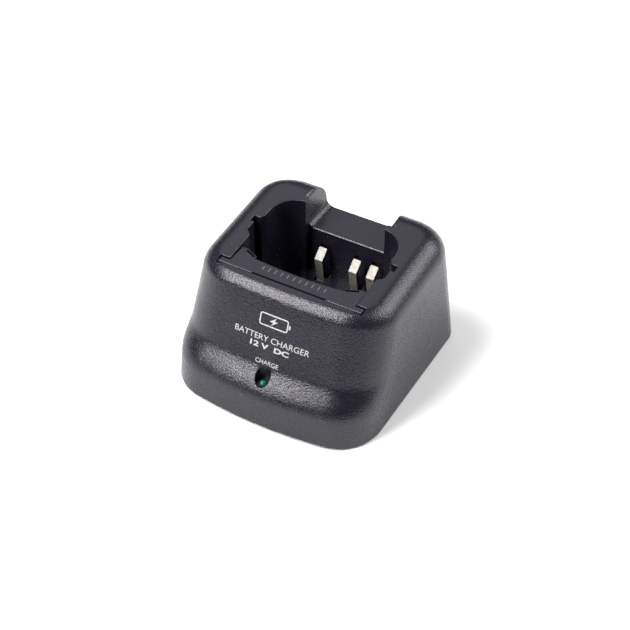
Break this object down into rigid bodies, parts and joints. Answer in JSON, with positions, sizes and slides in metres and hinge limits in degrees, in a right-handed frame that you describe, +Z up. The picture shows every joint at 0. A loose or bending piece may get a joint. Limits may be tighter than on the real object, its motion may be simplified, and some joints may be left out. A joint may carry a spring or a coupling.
{
  "type": "desktop radio charger",
  "caption": "Desktop charging cradle for a hand-held two-way radio: drop-in pocket with spring contacts, lift-out spacer, belt-clip notch and charge lamp.",
  "frame": {"origin": "centre of the bounding box at the underside of the rubber feet", "axes": "+Z up, +X to the right seen from the front, the front with the lamp faces -Y"},
  "size_m": [0.0884, 0.0924, 0.0556],
  "materials": {
    "case_plastic": "fine spark-eroded grain, charcoal black",
    "cover_plastic": "fine grain, black",
    "spacer_plastic": "fine grain, charcoal black",
    "foot_rubber": "matt black rubber",
    "label_foil": "blank satin foil",
    "nickel_strip": "nickel-plated spring strip",
    "screw_steel": "zinc-plated steel",
    "block_plastic": "black moulded nylon",
    "board_laminate": "paper laminate, brown",
    "jack_plastic": "black",
    "lamp_resin": "translucent green",
    "tinned_wire": "tinned",
    "chip_resin": "black moulding resin",
    "sink_aluminium": "plain",
    "can_sleeve": "shrink sleeve, dark blue",
    "ceramic": "white ceramic",
    "resistor_lacquer": "beige lacquer",
    "diode_glass": "black epoxy"
  },
  "bodies": {
    "cradle": {"upper_case": "case_plastic", "base_cover": "cover_plastic", "rating_plate": "label_foil", "foot_front_left": "foot_rubber", "foot_front_right": "foot_rubber", "foot_rear_left": "foot_rubber", "foot_rear_right": "foot_rubber", "case_screws": "screw_steel", "contact_tails": "nickel_strip", "contact_block": "block_plastic", "main_board": "board_laminate", "board_screws": "screw_steel", "dc_jack_housing": "jack_plastic", "dc_jack_pin": "nickel_strip", "dc_jack_spring": "nickel_strip", "charge_lamp": "lamp_resin", "charge_lamp_leads": "tinned_wire", "voltage_regulator": "chip_resin", "heat_sink": "sink_aluminium", "regulator_screw": "screw_steel", "input_capacitor": "can_sleeve", "output_capacitor": "can_sleeve", "charge_controller": "chip_resin", "power_resistor": "ceramic", "resistors": "resistor_lacquer", "diodes": "diode_glass", "transistor": "chip_resin"},
    "spacer": {"pocket_spacer": "spacer_plastic"},
    "left_contact": {"contact_left": "nickel_strip"},
    "middle_contact": {"contact_middle": "nickel_strip"},
    "right_contact": {"contact_right": "nickel_strip"}
  },
  "joints": [
    {"name": "spacer_lift", "type": "slide", "parent": "cradle", "child": "spacer", "axis": [0, 0, 1], "range_m": [0, 0.045]},
    {"name": "left_contact_flex", "type": "hinge", "parent": "cradle", "child": "left_contact", "pos_m": [-0.0103, 0.02375, 0.0178], "axis": [-1, 0, 0], "range_deg": [0, 6.5], "stiffness_Nm_per_rad": 0.14},
    {"name": "middle_contact_flex", "type": "hinge", "parent": "cradle", "child": "middle_contact", "pos_m": [0.0054, 0.02375, 0.0178], "axis": [-1, 0, 0], "range_deg": [0, 6.5], "stiffness_Nm_per_rad": 0.14},
    {"name": "right_contact_flex", "type": "hinge", "parent": "cradle", "child": "right_contact", "pos_m": [0.0133, 0.02375, 0.0178], "axis": [-1, 0, 0], "range_deg": [0, 6.5], "stiffness_Nm_per_rad": 0.14}
  ]
}
